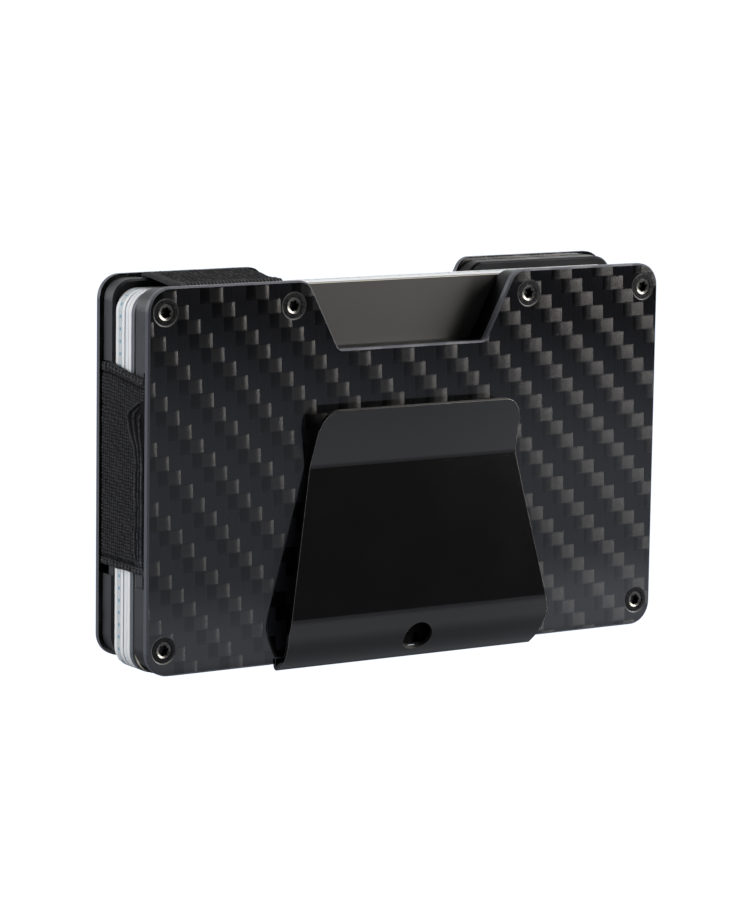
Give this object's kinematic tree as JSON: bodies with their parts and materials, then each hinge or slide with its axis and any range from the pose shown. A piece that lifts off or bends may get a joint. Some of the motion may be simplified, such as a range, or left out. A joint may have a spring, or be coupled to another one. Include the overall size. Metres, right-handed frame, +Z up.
{
  "type": "minimalist wallet",
  "caption": "Slim card holder: two carbon-fibre faced shells drawn together by elastic bands over a stack of cards, with a bent spring money clip on the front.",
  "frame": {"origin": "middle of the outline in X and Y, at the lowest point in Z; the wallet stands on a long edge", "axes": "+X along the long side towards the open end where the cards slide out, +Y from the money clip to the back plate, +Z up across the cards to the thumb notches"},
  "size_m": [0.087, 0.0184, 0.0567],
  "materials": {
    "carbon": "glossy 2x2 twill carbon-fibre laminate",
    "frame": "black anodised, fine satin",
    "screw": "black oxide, worn bright at the edges",
    "clip": "glossy black coated spring steel",
    "elastic": "black knitted elastic webbing",
    "thread": "black bonded thread",
    "card_dark": "satin gunmetal face on a cream core",
    "card_grey": "blue-grey satin",
    "card_dotted": "pale, with a dotted blue core",
    "card_white": "white satin"
  },
  "bodies": {
    "front_shell": {"front_outer_plate": "carbon", "front_frame": "frame", "front_screws": "screw", "front_stitching": "thread", "clip_tab": "clip", "elastic_loop": "elastic", "elastic_side": "elastic"},
    "back_shell": {"back_outer_plate": "carbon", "back_frame": "frame", "back_screws": "screw", "back_stitching": "thread"},
    "clip": {"clip_leaf": "clip"},
    "card_1": {"card_1": "card_dark"},
    "card_2": {"card_2": "card_grey"},
    "card_3": {"card_3": "card_white"},
    "card_4": {"card_4": "card_white"},
    "card_5": {"card_5": "card_white"},
    "card_6": {"card_6": "card_dotted"},
    "card_7": {"card_7": "card_white"}
  },
  "joints": [
    {"name": "back_shell_spread", "type": "slide", "parent": "front_shell", "child": "back_shell", "axis": [0, 1, 0], "range_m": [0, 0.004], "stiffness_N_per_m": 1200, "springref_m": -0.004, "deforming": ["elastic_loop", "elastic_side"]},
    {"name": "clip_flex", "type": "hinge", "parent": "front_shell", "child": "clip", "pos_m": [0, -0.00876, 0.00567], "axis": [1, 0, 0], "range_deg": [0, 9], "stiffness_Nm_per_rad": 0.6, "springref_deg": -4.58},
    {"name": "card_1_slide", "type": "slide", "parent": "front_shell", "child": "card_1", "axis": [1, 0, 0], "range_m": [0, 0.06]},
    {"name": "card_2_slide", "type": "slide", "parent": "front_shell", "child": "card_2", "axis": [1, 0, 0], "range_m": [0, 0.06]},
    {"name": "card_3_slide", "type": "slide", "parent": "front_shell", "child": "card_3", "axis": [1, 0, 0], "range_m": [0, 0.06]},
    {"name": "card_4_slide", "type": "slide", "parent": "front_shell", "child": "card_4", "axis": [1, 0, 0], "range_m": [0, 0.06]},
    {"name": "card_5_slide", "type": "slide", "parent": "front_shell", "child": "card_5", "axis": [1, 0, 0], "range_m": [0, 0.06]},
    {"name": "card_6_slide", "type": "slide", "parent": "front_shell", "child": "card_6", "axis": [1, 0, 0], "range_m": [0, 0.06]},
    {"name": "card_7_slide", "type": "slide", "parent": "front_shell", "child": "card_7", "axis": [1, 0, 0], "range_m": [0, 0.06]}
  ]
}
